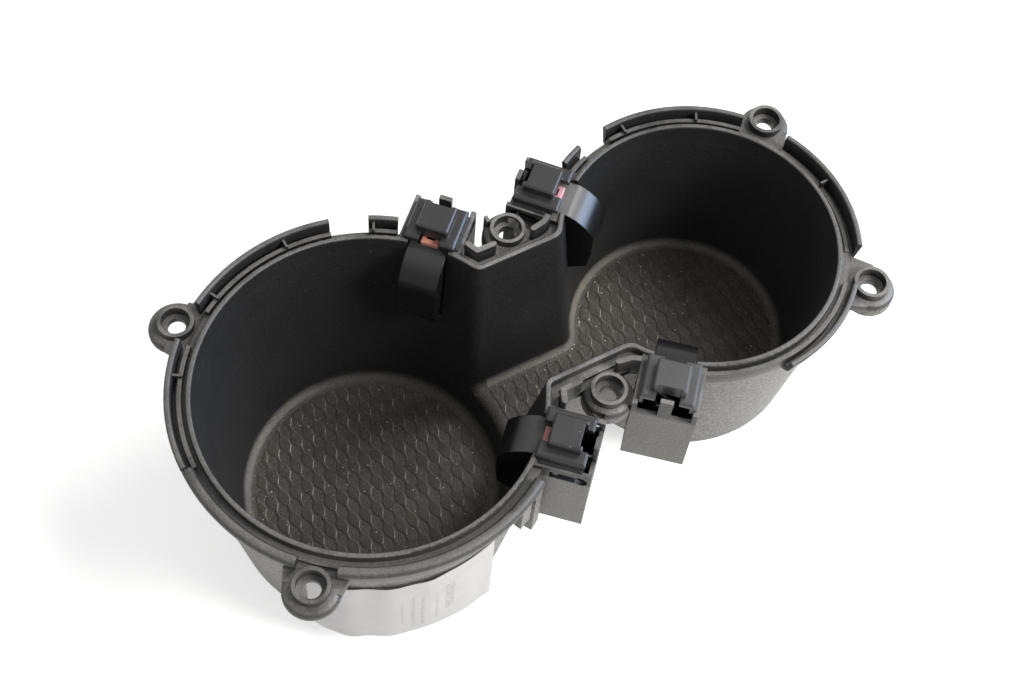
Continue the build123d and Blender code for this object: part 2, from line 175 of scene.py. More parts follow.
# Pale floor that the part stands on
STAGE_HALF = 3.0
STAGE_TONES = ((0.9, 0.9, 0.9), (0.93, 0.93, 0.93))
STAGE_ROUGH = 0.8
STAGE_GLOW = 0.55            # added where it is seen, and not to the light on the part

# Colours, linear
# black of the inner walls; the pockets' hollows take it too, as painted shade
WALL_BLACK_AND_SHADE = (0.02, 0.02, 0.0205)
FLOOR_GREY = (0.085, 0.078, 0.069)
FLOOR_BROWN = (0.086, 0.077, 0.066)
# bright strokes on the floor scales: dust and painted highlight on the flanks that face the lamps
STROKE_DUST_AND_HIGHLIGHT = (0.5, 0.47, 0.42)
# pale ring in the bends round the floors: dust and a painted highlight
RING_DUST_AND_HIGHLIGHT = (0.23, 0.214, 0.184)
RIM_BLACK = (0.024, 0.024, 0.025)
# painted light on the rim's outward faces
RIM_OUTSIDE_LIT = (0.06, 0.059, 0.058)
# paler grey of the rim's up-facing tops, and paler still on ears and decks
RIM_TOP_GREY = (0.135, 0.132, 0.129)
EAR_TOP_GREY = (0.2, 0.195, 0.19)
# painted light: the outside below the rim is the same black plastic, greyed as if lit from the pale floor
# below
OUTER_LIT_GREY = (0.162, 0.157, 0.149)
FINGER_BLACK = (0.009, 0.009, 0.01)
DUST = (0.62, 0.6, 0.55)
STEEL = (0.5, 0.5, 0.52)
PAPER = (0.64, 0.635, 0.64)
PRINT_GREY = (0.3, 0.3, 0.31)
CAP_BLACKS = {               # one cap is paler than the others: a painted highlight
    "big_rear_cap": (0.024, 0.023, 0.024),
    "small_rear_cap": (0.024, 0.023, 0.024),
    "big_front_cap": (0.024, 0.023, 0.024),
    # painted highlight: this cap is paler all over
    "small_front_cap": (0.048, 0.047, 0.048),
}
FINGER_TOPS = {              # grey of each finger's paler flat top
    "big_rear_finger": (0.05, 0.05, 0.051),
    "small_rear_finger": (0.19, 0.19, 0.195),
    "big_front_finger": (0.1, 0.1, 0.102),
    "small_front_finger": (0.025, 0.025, 0.026),
}
PAD_COLOURS = {
    "big_rear_slide_pad": (0.85, 0.36, 0.27),
    "small_rear_slide_pad": (0.76, 0.4, 0.46),
    "big_front_slide_pad": (0.62, 0.26, 0.25),
    "small_front_slide_pad": (0.72, 0.33, 0.3),
}
FINGER_SMEAR = 1.6           # the other colour of each noise, as a multiple of the first
CAP_SMEAR = 1.7
PAD_SMEAR = 0.7
STEEL_SMEAR = 0.7
PAPER_SMEAR = 0.93

# Noises: features to a metre, detail, roughness
BODY_SMUDGE = (55.0, 4.0, 0.6)
BODY_GRAIN = (2600.0, 2.0, 0.6)
BODY_SAND = (1400.0, 2.0, 0.6)
RING_PATCHES = (500.0, 4.0, 0.75)
FLOOR_SMUDGE = (70.0, 4.0, 0.6)
FLOOR_GRAIN = (2200.0, 3.0, 0.65)
FLOOR_MOTTLE = (450.0, 4.0, 0.7)
STROKE_PATCHES = (260.0, 4.0, 0.7)
FINGER_SMUDGE = (180.0, 4.0, 0.6)
FINGER_GRAIN = (1500.0, 2.0, 0.5)
CAP_SMUDGE = (220.0, 4.0, 0.6)
CAP_GRAIN = (3200.0, 2.0, 0.5)
PAD_CLOUDS = (700.0, 3.0, 0.5)
STEEL_STREAKS = (900.0, 3.0, 0.5)
PAPER_FIBRES = (900.0, 5.0, 0.7)
PAPER_STAINS = (120.0, 3.0, 0.6)
PRINT_GRAIN = (1500.0, 1.0, 0.5)
STAGE_CLOUDS = (3.0, 2.0, 0.5)

# Specks of dust: cells to a metre, radius in parts of a cell, share of the cells that have one
FLOOR_SPECKS = (420.0, 0.11, 0.6)
FLOOR_FINE_SPECKS = (900.0, 0.15, 0.7)
BODY_SPECKS = (420.0, 0.09, 0.3)
FINGER_SPECKS = (600.0, 0.1, 0.06)
CAP_SPECKS = (500.0, 0.1, 0.1)
SPECK_CORE = 0.6             # share of a speck's radius that is full
FLOOR_SPECKS_SHOW = 0.85     # how strongly they show
FLOOR_FINE_SHOW = 0.42
BODY_SPECKS_SHOW = (0.12, 0.6)        # on the walls, on the pale ring of dust and painted highlight
FINGER_SPECKS_SHOW = 0.3
CAP_SPECKS_SHOW = 0.4

# Steps from 0 to 1: where each begins and where it is full
FLOOR_UP = (0.9, 0.99)       # of the normal's Z
BEND_UP = (0.25, 0.8)
BEND_NOT_FLAT = (0.998, 0.93)
RIM_TOP_UP = (0.6, 0.97)
FINGER_TOP_UP = (0.7, 0.97)
FLANK_UP = (0.97, 0.85)
FLANK_SLANT = (0.2, 0.5)     # of how far a flank turns to the front, with a share of its turn to the right
FLANK_RIGHT = (0.0, 0.1)     # of the normal's X
FLANK_SHARE = 0.5
RIM_OUTWARD = (0.0, 0.02)    # of the normal's part away from the axis, times the distance from it
RING_SMUDGE = (0.25, 0.6)    # of a noise
RIM_SMUDGE = (0.2, 0.55)
STROKE_SMUDGE = (0.27, 0.62)
PRINT_SMUDGE = (0.4, 0.5)
BELOW_LIP = (LIP_Z - 0.0004, LIP_Z - 0.0009)    # of Z
RING_DEPTH = (-0.03, -0.036)
# painted shade deeper down in the pockets' hollows
POCKET_SHADE_DEPTH = (0.0025, 0.0015)
RIM_FOOT = (-0.0003, -0.0018)         # below the rim the outside is coarse
CAP_SHADE_FOOT = (0.0027, 0.0031)           # lower down a cap is in its pocket, darkened by painted shade
# the ring's painted highlight is strongest on the left of each well, where the bend faces the lamps
BIG_RING_LEFT = (BIG_X + 0.016, BIG_X - 0.02)   # of X
SMALL_RING_LEFT = (SMALL_X + 0.014, SMALL_X - 0.02)
# painted shadow across the right of the small well's floor
FLOOR_SHADOW_EDGE = (SMALL_X - 0.011, SMALL_X + 0.006)
EARS = (0.0065, 0.0085)      # of the way out from the mouth, where ears and decks begin
SKIN = 0.001                 # what still counts as the inside, outwards from the inner face
BLUR = 0.0003                # softness of the border between inside and outside

# Tones: factors for 0 and 1 of a noise or a mask
FLOOR_SMUDGE_TONES = (0.65, 1.35)
FLOOR_GRAIN_TONES = (0.4, 1.6)
FLOOR_MOTTLE_TONES = (0.55, 1.45)
FLOOR_SHADOW_TONES = (1.0, 0.64)        # painted shadow: the floors are darker on the right of the small well
STROKE_SHADOW_TONES = (1.0, 0.3)        # and the bright strokes there are fainter in it
STROKE_SLANT_TONES = (0.2, 1.0)
RING_SMUDGE_TONES = (0.5, 1.0)
RING_PATCH_TONES = (0.55, 1.15)
RING_LEFT_TONES = (0.3, 1.0)
BODY_SMUDGE_TONES = (0.7, 1.3)
BODY_GRAIN_TONES = (0.6, 1.4)
PEBBLE_CONTRAST = (0.9, 2.8)          # on smooth faces, on coarse ones
PEBBLE_RELIEF = (1.0, 2.0)
PEBBLE_MEAN = 1.05
NOISE_MIDDLE = 0.5
FINGER_TOP_TONES = (0.7, 1.1)
# painted shade on a cap's lower part
CAP_FOOT_SHADE_TONES = (0.3, 1.0)
PAPER_STAIN_TONES = (0.86, 1.1)

# Finish: roughness, gloss, depth of the relief and radius of the rounded edges
BODY_ROUGH = (0.4, 0.42)     # outside, inside
BODY_SMUDGE_ROUGH = 0.14
BODY_GLOSS = 0.35
BODY_RELIEF = 0.00014
BODY_EDGE = 0.0003
SCALE_ROUGH = (0.5, 0.65)
SCALE_GLOSS = 0.25
SCALE_RELIEF = 0.00006
FINGER_ROUGH = (0.17, 0.3)
FINGER_GLOSS = 0.22
FINGER_RELIEF = 0.00001
FINGER_EDGE = 0.0005
CAP_ROUGH = (0.3, 0.42)
CAP_GLOSS = 0.4
CAP_RELIEF = 0.00003
CAP_EDGE = 0.0004
PAD_ROUGH = (0.35, 0.5)
PAD_RELIEF = 0.00003
STEEL_ROUGH = (0.25, 0.4)
PAPER_ROUGH = 0.6
PAPER_RELIEF = 0.00005
EDGE_SAMPLES = 4


class Shader:
    """A material's node tree, with short calls for the nodes used here."""

    def __init__(self, name):
        self.material = bpy.data.materials.new(name)
        self.material.use_nodes = True
        self.tree = self.material.node_tree
        self.surface = self.tree.nodes["Principled BSDF"]
        self.output = self.tree.nodes["Material Output"]

    def feed(self, socket, value):
        if isinstance(value, bpy.types.NodeSocket):
            self.tree.links.new(value, socket)
        elif isinstance(value, tuple) and socket.type == "RGBA":
            socket.default_value = (*value, 1.0)
        else:
            socket.default_value = value

    def node(self, kind, inputs, **settings):
        made = self.tree.nodes.new(kind)
        for key, value in settings.items():
            setattr(made, key, value)
        for key, value in inputs.items():
            self.feed(made.inputs[key], value)
        return made

    def math(self, operation, first, second=0.0):
        return self.node("ShaderNodeMath", {0: first, 1: second}, operation=operation).outputs[0]

    def chain(self, operation, values):
        """One value after the other, joined by the same operation."""
        result = values[0]
        for value in values[1:]:
            result = self.math(operation, result, value)
        return result

    def times(self, *values):
        return self.chain("MULTIPLY", values)

    def highest(self, *values):
        return self.chain("MAXIMUM", values)

    def plus(self, first, second):
        return self.math("ADD", first, second)

    def minus(self, first, second):
        return self.math("SUBTRACT", first, second)

    def size(self, value):
        return self.math("ABSOLUTE", value)

    def above(self, value, limit):
        return self.math("GREATER_THAN", value, limit)

    def below(self, value, limit):
        return self.math("LESS_THAN", value, limit)

    def between(self, value, low, high):
        return self.times(self.above(value, low), self.below(value, high))

    def step(self, value, start, full):
        """0 up to start, 1 from full on, smooth between; start may be the higher one."""
        inputs = {"Value": value, "From Min": start, "From Max": full}
        return self.node("ShaderNodeMapRange", inputs, interpolation_type="SMOOTHSTEP").outputs[0]

    def spread(self, value, low, high):
        """A value between 0 and 1 spread over a range."""
        return self.node("ShaderNodeMapRange", {"Value": value, "To Min": low, "To Max": high}).outputs[0]

    def mix(self, share, first, second):
        made = self.node("ShaderNodeMix", {}, data_type="RGBA")
        colours = [s for s in made.inputs if s.type == "RGBA"]
        self.feed(made.inputs[0], share)
        self.feed(colours[0], first)
        self.feed(colours[1], second)
        return [s for s in made.outputs if s.type == "RGBA"][0]

    def smear(self, share, colour, multiple):
        """A colour that goes over to a multiple of itself."""
        return self.mix(share, colour, tuple(multiple * part for part in colour))

    def shade(self, colour, factor):
        return self.node("ShaderNodeVectorMath", {0: colour, "Scale": factor}, operation="SCALE").outputs[0]

    def place(self):
        coordinates = self.node("ShaderNodeTexCoord", {}).outputs["Object"]
        split = self.node("ShaderNodeSeparateXYZ", {"Vector": coordinates}).outputs
        return coordinates, split["X"], split["Y"], split["Z"]

    def facing(self):
        normal = self.node("ShaderNodeNewGeometry", {}).outputs["Normal"]
        split = self.node("ShaderNodeSeparateXYZ", {"Vector": normal}).outputs
        return split["X"], split["Y"], split["Z"]

    def noise(self, where, scale, detail, roughness):
        inputs = {"Vector": where, "Scale": scale, "Detail": detail, "Roughness": roughness}
        return self.node("ShaderNodeTexNoise", inputs).outputs["Fac"]

    def distance(self, x, y, centre_x):
        off = self.minus(x, centre_x)
        return self.math("SQRT", self.plus(self.times(off, off), self.times(y, y)))

    def specks(self, where, cells, radius, kept):
        """Scattered round specks: cells to a metre, radius in parts of a cell, share of cells with one."""
        cell = self.node("ShaderNodeTexVoronoi", {"Vector": where, "Scale": cells})
        near = self.step(cell.outputs["Distance"], radius, radius * SPECK_CORE)
        pick = self.node("ShaderNodeSeparateColor", {"Color": cell.outputs["Color"]}).outputs[0]
        return self.times(near, self.below(pick, kept))

    def soft_edges(self, radius):
        """Normal with the sharp edges rounded."""
        return self.node("ShaderNodeBevel", {"Radius": radius}, samples=EDGE_SAMPLES).outputs[0]

    def bump(self, height, depth, below=None):
        inputs = {"Height": height, "Distance": depth, "Strength": 1.0}
        if below is not None:
            inputs["Normal"] = below
        return self.node("ShaderNodeBump", inputs).outputs[0]

    def finish(self, **inputs):
        for key, value in inputs.items():
            self.feed(self.surface.inputs[key.replace("_", " ")], value)
        return self.material


def inside_well(s, distance, z, mouth, floor, depth):
    """1 on the inner face of a tapered wall and within it, 0 outside."""
    slope = (mouth - floor) / depth
    reach = s.plus(s.times(z, slope), mouth + SKIN - LIP_Z * slope)
    return s.step(s.minus(reach, distance), -BLUR, BLUR)


def inside_mask(s, x, y, z):
    """1 on the inner faces of the wells and the waist, below the lip."""
    big = inside_well(s, s.distance(x, y, BIG_X), z, BIG_MOUTH_R, BIG_FLOOR_R, BIG_DEPTH)
    small = inside_well(s, s.distance(x, y, SMALL_X), z, SMALL_MOUTH_R, SMALL_FLOOR_R, SMALL_DEPTH)
    waist = inside_well(s, s.size(y), z, WAIST_HALF, WAIST_FLOOR_HALF, SMALL_DEPTH)
    shallow = s.highest(small, s.times(waist, s.between(x, BIG_X, SMALL_X)))
    within = s.highest(big, s.times(shallow, s.above(z, SMALL_FLOOR_Z - SKIN)))
    return s.times(within, s.above(z, BIG_FLOOR_Z - SKIN), s.step(z, *BELOW_LIP))


def pocket_axes(s, x, side, centre, mouth, angle):
    """How far out from the mouth along the line of a gripper, and how far across it, side being the
    distance from the long axis."""
    off = s.minus(x, centre)
    c, n = cos(radians(angle)), sin(radians(angle))
    out = s.plus(s.times(off, c), s.times(side, n))
    across = s.minus(s.times(side, c), s.times(off, n))
    return s.minus(out, mouth), s.size(across)


def in_pocket(s, out, across, z):
    """1 within the hollow of a pocket and its guide slots."""
    reach = s.spread(s.between(z, SLOT_LOW, SLOT_HIGH), POCKET_HALF, SLOT_HALF)
    return s.times(s.between(out, POCKET_FROM, POCKET_TO), s.below(across, reach))


def on_box(s, out, across):
    """1 on the plain box round a pocket."""
    return s.times(s.above(out, BOX_FROM), s.below(across, BOX_HALF))


def pocket_masks(s, x, y, z):
    """1 within the pockets, and 1 on the boxes round them."""
    side = s.size(y)
    big = pocket_axes(s, x, side, BIG_X, BIG_MOUTH_R, BIG_GRIP_ANGLE)
    small = pocket_axes(s, x, side, SMALL_X, SMALL_MOUTH_R, SMALL_GRIP_ANGLE)
    pocket = s.highest(in_pocket(s, *big, z), in_pocket(s, *small, z))
    return pocket, s.highest(on_box(s, *big), on_box(s, *small))


def ring_mask(s, where, x, z, up, smudge):
    """Dust and a painted highlight in the bends round the floors, strongest on the left of each well, where
    the bend faces the lamps.
    """
    bend = s.times(s.step(up, *BEND_UP), s.step(up, *BEND_NOT_FLAT), s.step(z, *RING_DEPTH))
    left = s.times(s.above(x, STEP_X), s.step(x, *SMALL_RING_LEFT))
    left = s.highest(left, s.step(x, *BIG_RING_LEFT))
    smudged = s.spread(s.step(smudge, *RING_SMUDGE), *RING_SMUDGE_TONES)
    patches = s.spread(s.noise(where, *RING_PATCHES), *RING_PATCH_TONES)
    return s.times(bend, smudged, patches, s.spread(left, *RING_LEFT_TONES))


def rim_colour(s, x, y, facing, smudge):
    """The dark rim, with painted light on its outer side, and paler up-facing tops, palest on the ears and
    decks.
    """
    normal_x, normal_y, up = facing
    on_small = s.above(x, STEP_X)
    axis_x = s.spread(on_small, BIG_X, SMALL_X)
    mouth = s.spread(on_small, BIG_MOUTH_R, SMALL_MOUTH_R)
    past_mouth = s.minus(s.distance(x, y, axis_x), mouth)
    # up-facing tops are paler, palest on the ears and decks
    top_pale = s.mix(s.step(past_mouth, *EARS), RIM_TOP_GREY, EAR_TOP_GREY)
    top = s.times(s.step(up, *RIM_TOP_UP), s.step(smudge, *RIM_SMUDGE))
    away = s.plus(s.times(normal_x, s.minus(x, axis_x)), s.times(normal_y, y))
    # painted light: the rim's outward faces are paler
    side = s.mix(s.step(away, *RIM_OUTWARD), RIM_BLACK, RIM_OUTSIDE_LIT)
    return s.mix(top, side, top_pale)


def floor_shadow(s, x):
    """Painted shadow: 0 on the lit floors, 1 on the shaded right of the small well."""
    return s.step(x, *FLOOR_SHADOW_EDGE)


def floor_colour(s, where, x):
    """Grey dust on the floors, darkened by painted shadow on the right of the small well."""
    smudge = s.noise(where, *FLOOR_SMUDGE)
    grain = s.noise(where, *FLOOR_GRAIN)
    mottle = s.noise(where, *FLOOR_MOTTLE)
    # painted shadow darkens the floor's dust and specks on the right of the small well
    shadowed = s.spread(floor_shadow(s, x), *FLOOR_SHADOW_TONES)
    tone = s.times(s.spread(smudge, *FLOOR_SMUDGE_TONES), s.spread(grain, *FLOOR_GRAIN_TONES),
                   s.spread(mottle, *FLOOR_MOTTLE_TONES), shadowed)
    colour = s.shade(s.mix(smudge, FLOOR_GREY, FLOOR_BROWN), tone)
    dust = s.times(s.specks(where, *FLOOR_SPECKS), FLOOR_SPECKS_SHOW)
    fine = s.times(s.specks(where, *FLOOR_FINE_SPECKS), FLOOR_FINE_SHOW)
    return s.mix(s.times(s.highest(dust, fine), shadowed), colour, DUST)


def body_material():
    s = Shader("moulded_body")
    where, x, y, z = s.place()
    facing = s.facing()
    up = facing[2]
    smudge = s.noise(where, *BODY_SMUDGE)
    grain = s.noise(where, *BODY_GRAIN)
    sand = s.noise(where, *BODY_SAND)
    inside = inside_mask(s, x, y, z)
    floor = s.times(inside, s.step(up, *FLOOR_UP))
    ring = s.times(inside, ring_mask(s, where, x, z, up, smudge))
    pocket, box = pocket_masks(s, x, y, z)
    # painted shade: the pockets' hollows take the inner walls' black, deeper down
    dark = s.highest(inside, s.times(pocket, s.step(z, *POCKET_SHADE_DEPTH)))
    low = s.step(z, *RIM_FOOT)
    coarse = s.times(low, s.spread(box, 1.0, 0.0))

    pebbles = s.times(s.minus(sand, NOISE_MIDDLE), s.spread(coarse, *PEBBLE_CONTRAST))
    # below the rim the outside turns pale grey: painted light from the pale floor
    outer = s.mix(low, rim_colour(s, x, y, facing, smudge), OUTER_LIT_GREY)
    outer = s.shade(outer, s.plus(pebbles, PEBBLE_MEAN))
    # the pale ring in the bends is dust and a painted highlight
    colour = s.mix(ring, s.mix(dark, outer, WALL_BLACK_AND_SHADE), RING_DUST_AND_HIGHLIGHT)
    tone = s.times(s.spread(smudge, *BODY_SMUDGE_TONES), s.spread(grain, *BODY_GRAIN_TONES))
    dust = s.times(s.specks(where, *BODY_SPECKS), s.spread(ring, *BODY_SPECKS_SHOW))
    colour = s.mix(dust, s.shade(colour, tone), DUST)
    colour = s.mix(floor, colour, floor_colour(s, where, x))

    height = s.times(sand, s.spread(coarse, *PEBBLE_RELIEF))
    rough = s.plus(s.spread(inside, *BODY_ROUGH), s.times(smudge, BODY_SMUDGE_ROUGH))
    return s.finish(Base_Color=colour, Roughness=rough, Specular_IOR_Level=BODY_GLOSS,
                    Normal=s.bump(height, BODY_RELIEF, s.soft_edges(BODY_EDGE)))


def scale_material():
    """The floors' dust, with bright strokes of dust and painted highlight on the strips' flanks that face
    right and to the front, towards the lamps.
    """
    s = Shader("floor_scales")
    where, x, _, _ = s.place()
    across, along, up = s.facing()
    slant = s.step(s.minus(s.times(across, FLANK_SHARE), along), *FLANK_SLANT)
    strokes = s.step(s.noise(where, *STROKE_PATCHES), *STROKE_SMUDGE)
    # painted highlight on the flanks that face the lamps, fainter in the painted shadow on the right of the
    # small well
    share = s.times(s.step(up, *FLANK_UP), s.spread(slant, *STROKE_SLANT_TONES),
                    s.step(across, *FLANK_RIGHT), strokes,
                    s.spread(floor_shadow(s, x), *STROKE_SHADOW_TONES))
    colour = s.mix(share, floor_colour(s, where, x), STROKE_DUST_AND_HIGHLIGHT)
    grain = s.noise(where, *FLOOR_GRAIN)
    return s.finish(Base_Color=colour, Roughness=s.spread(grain, *SCALE_ROUGH),
                    Specular_IOR_Level=SCALE_GLOSS, Normal=s.bump(grain, SCALE_RELIEF))


def finger_material(name, top_grey):
    s = Shader(name)
    where = s.place()[0]
    smudge = s.noise(where, *FINGER_SMUDGE)
    top = s.times(s.step(s.facing()[2], *FINGER_TOP_UP), s.spread(smudge, *FINGER_TOP_TONES))
    colour = s.mix(top, s.smear(smudge, FINGER_BLACK, FINGER_SMEAR), top_grey)
    colour = s.mix(s.times(s.specks(where, *FINGER_SPECKS), FINGER_SPECKS_SHOW), colour, DUST)
    grain = s.noise(where, *FINGER_GRAIN)
    return s.finish(Base_Color=colour, Roughness=s.spread(smudge, *FINGER_ROUGH),
                    Specular_IOR_Level=FINGER_GLOSS,
                    Normal=s.bump(grain, FINGER_RELIEF, s.soft_edges(FINGER_EDGE)))


def cap_material(name, black):
    s = Shader(name)
    where, _, _, z = s.place()
    smudge = s.noise(where, *CAP_SMUDGE)
    colour = s.smear(smudge, black, CAP_SMEAR)
    colour = s.mix(s.times(s.specks(where, *CAP_SPECKS), CAP_SPECKS_SHOW), colour, DUST)
    # painted shade on the lower part of a cap, down in its pocket
    colour = s.shade(colour, s.spread(s.step(z, *CAP_SHADE_FOOT), *CAP_FOOT_SHADE_TONES))
    grain = s.noise(where, *CAP_GRAIN)
    return s.finish(Base_Color=colour, Roughness=s.spread(smudge, *CAP_ROUGH),
                    Specular_IOR_Level=CAP_GLOSS,
                    Normal=s.bump(grain, CAP_RELIEF, s.soft_edges(CAP_EDGE)))


def pad_material(name, tint):
    s = Shader(name)
    clouds = s.noise(s.place()[0], *PAD_CLOUDS)
    dark = tuple(PAD_SMEAR * part for part in tint)
    return s.finish(Base_Color=s.mix(clouds, dark, tint), Roughness=s.spread(clouds, *PAD_ROUGH),
                    Normal=s.bump(clouds, PAD_RELIEF))


def steel_material():
    s = Shader("spring_steel")
    streaks = s.noise(s.place()[0], *STEEL_STREAKS)
    return s.finish(Base_Color=s.smear(streaks, STEEL, STEEL_SMEAR), Metallic=1.0,
                    Roughness=s.spread(streaks, *STEEL_ROUGH))


def paper_material():
    """Stained paper with a few faint grey bars."""
    s = Shader("label_paper")
    where, x, y, z = s.place()
    fibres = s.noise(where, *PAPER_FIBRES)
    stains = s.spread(s.noise(where, *PAPER_STAINS), *PAPER_STAIN_TONES)
    colour = s.shade(s.smear(fibres, PAPER, PAPER_SMEAR), stains)
    arc = s.math("ARCTAN2", y, s.minus(x, BIG_X))
    bars = []
    for angle, half, low, high, share in LABEL_BARS:
        near = s.below(s.size(s.minus(arc, radians(angle))), radians(half))
        bars.append(s.times(near, s.between(z, low, high), share))
    grain = s.step(s.noise(where, *PRINT_GRAIN), *PRINT_SMUDGE)
    colour = s.mix(s.times(s.highest(*bars), grain), colour, PRINT_GREY)
    return s.finish(Base_Color=colour, Roughness=PAPER_ROUGH, Normal=s.bump(fibres, PAPER_RELIEF))


def dress():
    """Materials for all nodes, and the pieces that replace some of them."""
    paper = paper_material()
    steel = steel_material()
    for name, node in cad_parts.items():
        if name == "holder_body":
            material = body_material()
        elif name == "label":
            material = paper
        elif name in PAD_COLOURS:
            material = pad_material(name, PAD_COLOURS[name])
        elif name in FINGER_TOPS:
            material = finger_material(name, FINGER_TOPS[name])
        elif name in CAP_BLACKS:
            material = cap_material(name, CAP_BLACKS[name])
        else:
            material = steel
        node.data.materials.clear()
        node.data.materials.append(material)
    lay_label(paper)
    for name, (centre, mouth, angle) in GRIPS.items():
        lay_spring(name, centre, mouth, angle, steel)


def linked(name, data):
    made = bpy.data.objects.new(name, data)
    bpy.context.scene.collection.objects.link(made)
    return made


def laid(name, mesh, material):
    """A finished bmesh as an object of the scene."""
    data = bpy.data.meshes.new(name)
    mesh.to_mesh(data)
    mesh.free()
    data.materials.append(material)
    return linked(name, data)


def half_width(along):
    """Half the width of a raised strip, along from the middle of a wide part."""
    wave = max(-1.0, min(1.0, 8.0 * abs(along / SCALE_PERIOD % 1.0 - 0.5) - 2.0))
    return SCALE_PITCH / 4 + SCALE_SWAY * wave


def strip_profile(along):
    """Offset and height of the five points across a strip."""
    foot = half_width(along) + SCALE_EDGE / 2
    shoulder = foot - SCALE_EDGE
    return [(-foot, 0.0), (-shoulder, SCALE_RISE), (0.0, SCALE_RISE + SCALE_CROWN),
            (shoulder, SCALE_RISE), (foot, 0.0)]


def chord(x, centre, radius):
    return sqrt(max(0.0, radius ** 2 - (x - centre) ** 2))


def big_reach(x):
    return chord(x, BIG_X, BIG_SCALES_R)


def small_reach(x):
    waist = WAIST_SCALES_HALF if STEP_X <= x <= SMALL_X else 0.0
    return max(waist, chord(x, SMALL_X, SMALL_SCALES_R))


def floor_scales(name, reach, start, stop, base, origin, material):
    """Raised strips, cut off where reach gives the half-width of the flat floor."""
    mesh = bmesh.new()
    longest = max(reach(start + (stop - start) * step / REACH_TRIES) for step in range(REACH_TRIES + 1))
    rows = int(longest / SCALE_PERIOD * SCALE_STEPS) + SCALE_STEPS
    first = int((start - origin[0]) / SCALE_PITCH) - 1
    for index in range(first, int((stop - origin[0]) / SCALE_PITCH) + 2):
        centre = origin[0] + SCALE_PITCH * index
        last = None
        for row in range(-rows, rows + 1):
            along = row * SCALE_PERIOD / SCALE_STEPS
            y = origin[1] + along
            line = []
            for off, height in strip_profile(along):
                x = min(max(centre + off, start), stop)
                limit = reach(x)
                edge = abs(y) >= limit or x in (start, stop)
                z = base + (0.0 if edge else height)
                line.append(mesh.verts.new((x, min(max(y, -limit), limit), z)))
            if last:
                for a, b, c, d in zip(last, last[1:], line[1:], line):
                    mesh.faces.new((a, b, c, d))
            last = line
    bmesh.ops.remove_doubles(mesh, verts=mesh.verts, dist=SAME_PLACE)
    bmesh.ops.dissolve_degenerate(mesh, edges=mesh.edges, dist=SAME_PLACE)
    flat = [face for face in mesh.faces if all(abs(v.co.z - base) < SAME_LEVEL for v in face.verts)]
    bmesh.ops.delete(mesh, geom=flat, context="FACES")
    piece = laid(name, mesh, material)
    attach(piece, "holder")


def lay_scales():
    material = scale_material()
    floor_scales("big_floor_scales", big_reach, BIG_X - BIG_SCALES_R, BIG_X + BIG_SCALES_R,
                 BIG_FLOOR_Z, BIG_SCALES_ORIGIN, material)
    floor_scales("small_floor_scales", small_reach, STEP_X, SMALL_X + SMALL_SCALES_R,
                 SMALL_FLOOR_Z, SMALL_SCALES_ORIGIN, material)


def label_columns():
    """Angle, top, foot and tear of every column: the creases, with soft bends between them."""
    for crease, following in zip(LABEL_CREASES, LABEL_CREASES[1:]):
        for step in range(LABEL_COLUMNS):
            share = step / LABEL_COLUMNS
            soft = share * share * (3.0 - 2.0 * share)
            angle = crease[0] + (following[0] - crease[0]) * share
            yield angle, *(a + (b - a) * soft for a, b in zip(crease[1:], following[1:]))
    yield LABEL_CREASES[-1]


def lay_label(material):
    """The creased sheet, standing off the wall along its top."""
    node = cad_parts["label"]
    radius = min(hypot(v.co.x - BIG_X, v.co.y) for v in node.data.vertices)
    low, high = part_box("label")
    mesh = bmesh.new()
    grid = []
    for angle, top_out, foot_out, torn in label_columns():
        c, n = cos(radians(angle)), sin(radians(angle))
        column = []
        for row in range(LABEL_ROWS + 1):
            share = row / LABEL_ROWS
            out = radius + foot_out + (top_out - foot_out) * share ** LABEL_CURL
            z = low.z + torn + (high.z - low.z - torn) * share
            column.append(mesh.verts.new((BIG_X + out * c, out * n, z)))
        grid.append(column)
    for left, right in zip(grid, grid[1:]):
        for a, b, c, d in zip(left, right, right[1:], left[1:]):
            mesh.faces.new((a, b, c, d)).smooth = True
    for edge in mesh.edges:
        edge.smooth = not edge.is_boundary
    piece = laid("creased_label", mesh, material)
    thick = piece.modifiers.new("thick", "SOLIDIFY")
    thick.thickness = LABEL_THICK
    thick.offset = 0.0
    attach(piece, "holder")
    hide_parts("label")


def spring_reach(turn):
    """How far along a coil is after some turns; its end turns lie close."""
    length = SPRING_TO - SPRING_FROM - 2 * SPRING_WIRE_R
    if turn < 1:
        return SPRING_CLOSE * turn
    if turn > SPRING_TURNS - 1:
        return length - SPRING_CLOSE * (SPRING_TURNS - turn)
    return SPRING_CLOSE + (length - 2 * SPRING_CLOSE) * (turn - 1) / (SPRING_TURNS - 2)


def lay_spring(name, centre, mouth, angle, material):
    """A coil of round wire along a gripper's slide, towards the pocket's end wall."""
    out = Vector((cos(radians(angle)), sin(radians(angle)), 0.0))
    side = Vector((-out.y, out.x, 0.0))
    up = Vector((0.0, 0.0, 1.0))
    mouth_point = Vector((centre, 0.0, SPRING_Z)) + out * mouth
    start = mouth_point + out * (SPRING_FROM + SPRING_WIRE_R)
    mesh = bmesh.new()
    rings = []
    for step in range(SPRING_TURNS * SPRING_STEPS + 1):
        turn = step / SPRING_STEPS
        spoke = side * cos(2 * pi * turn) + up * sin(2 * pi * turn)
        middle = start + out * spring_reach(turn) + spoke * SPRING_R
        ring = []
        for corner in range(SPRING_SIDES):
            around = 2 * pi * corner / SPRING_SIDES
            ring.append(mesh.verts.new(middle + (spoke * cos(around) + out * sin(around)) * SPRING_WIRE_R))
        rings.append(ring)
    for last, ring in zip(rings, rings[1:]):
        for a, b, c, d in zip(last, last[1:] + last[:1], ring[1:] + ring[:1], ring):
            mesh.faces.new((a, b, c, d)).smooth = True
    mesh.faces.new(rings[0])
    mesh.faces.new(rings[-1])
    bmesh.ops.recalc_face_normals(mesh, faces=mesh.faces)
    piece = laid(name + "_coil", mesh, material)
    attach(piece, "holder")
    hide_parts(name + "_spring")
    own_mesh(piece)


